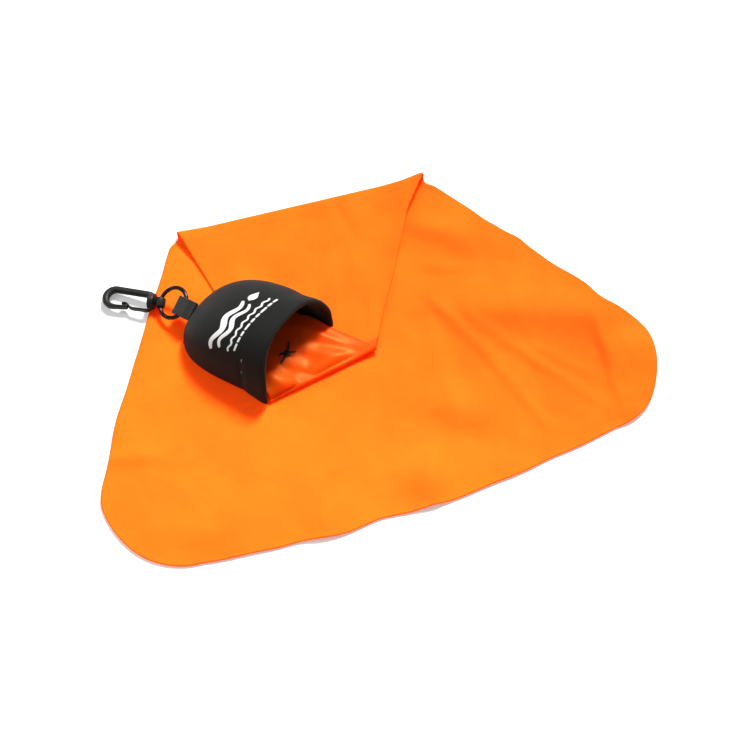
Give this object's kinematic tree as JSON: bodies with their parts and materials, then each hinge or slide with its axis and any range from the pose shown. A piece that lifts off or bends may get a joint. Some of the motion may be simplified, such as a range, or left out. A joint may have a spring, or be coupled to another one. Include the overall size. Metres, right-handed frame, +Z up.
{
  "type": "quick dry towel with clip pouch",
  "caption": "Fan-shaped microfibre towel folded in layers, its narrow end held in a small neoprene pouch that hangs from a ring and a plastic swivel snap hook",
  "frame": {"origin": "On the surface it lies on, under the middle of the object's bounding box", "axes": "+X runs along the top fold, the object's longest side; +Y points from the wide hem to the top fold; +Z is up, the shortest side"},
  "size_m": [0.2514, 0.166, 0.0299],
  "materials": {
    "microfibre": "brushed microfibre with a short matt nap",
    "microfibre_face": "smooth face of the same cloth with a satin sheen",
    "neoprene": "foam rubber laminated with fine black jersey, matt",
    "thread": "twisted polyester thread",
    "webbing": "plain woven tape, dark grey brown",
    "ring_metal": "black plated wire, glossy",
    "acetal": "moulded black plastic, satin"
  },
  "bodies": {
    "towel": {"towel_base_layer": "microfibre"},
    "flap": {"towel_middle_layer": "microfibre"},
    "pouch": {"towel_neck_layer": "microfibre_face", "pouch_top_panel": "neoprene", "pouch_back_panel": "neoprene", "pouch_edge_seam": "thread", "pouch_mouth_hem": "neoprene", "pouch_bar_tack": "thread", "retaining_knot": "thread"},
    "tab": {"webbing_tab": "webbing", "tab_stitch": "thread"},
    "ring": {"ring": "ring_metal"},
    "swivel": {"swivel_eye": "acetal"},
    "hook": {"hook_body": "acetal"},
    "gate": {"hook_gate": "acetal"}
  },
  "joints": [
    {"name": "top_fold", "type": "hinge", "parent": "towel", "child": "flap", "pos_m": [-0.00536, 0.08303, 0.00095], "axis": [-1, 0, 0], "range_deg": [0, 120]},
    {"name": "neck_fold", "type": "hinge", "parent": "flap", "child": "pouch", "pos_m": [-0.01916, -0.00822, 0.00205], "axis": [0.9727, 0.232, 0], "range_deg": [0, 100]},
    {"name": "tab_flex", "type": "hinge", "parent": "pouch", "child": "tab", "pos_m": [-0.06788, 0.03469, 0.01087], "axis": [0.6391, 0.6441, 0.4204], "range_deg": [0, 60]},
    {"name": "ring_swing", "type": "hinge", "parent": "tab", "child": "ring", "pos_m": [-0.0704, 0.03797, 0.00969], "axis": [0.6391, 0.6441, 0.4204], "range_deg": [0, 14]},
    {"name": "eye_swing", "type": "hinge", "parent": "ring", "child": "swivel", "pos_m": [-0.07996, 0.04683, 0.0049], "axis": [0.4, 0.8658, 0.3007], "range_deg": [0, 90]},
    {"name": "hook_swivel", "type": "hinge", "parent": "swivel", "child": "hook", "pos_m": [-0.08279, 0.04828, 0.00457], "axis": [-0.8861, 0.4515, -0.1045], "continuous": true},
    {"name": "gate_flex", "type": "hinge", "parent": "hook", "child": "gate", "pos_m": [-0.08649, 0.04562, 0.00435], "axis": [0.0931, -0.0475, -0.9945], "range_deg": [0, 16], "stiffness_Nm_per_rad": 0.02}
  ]
}
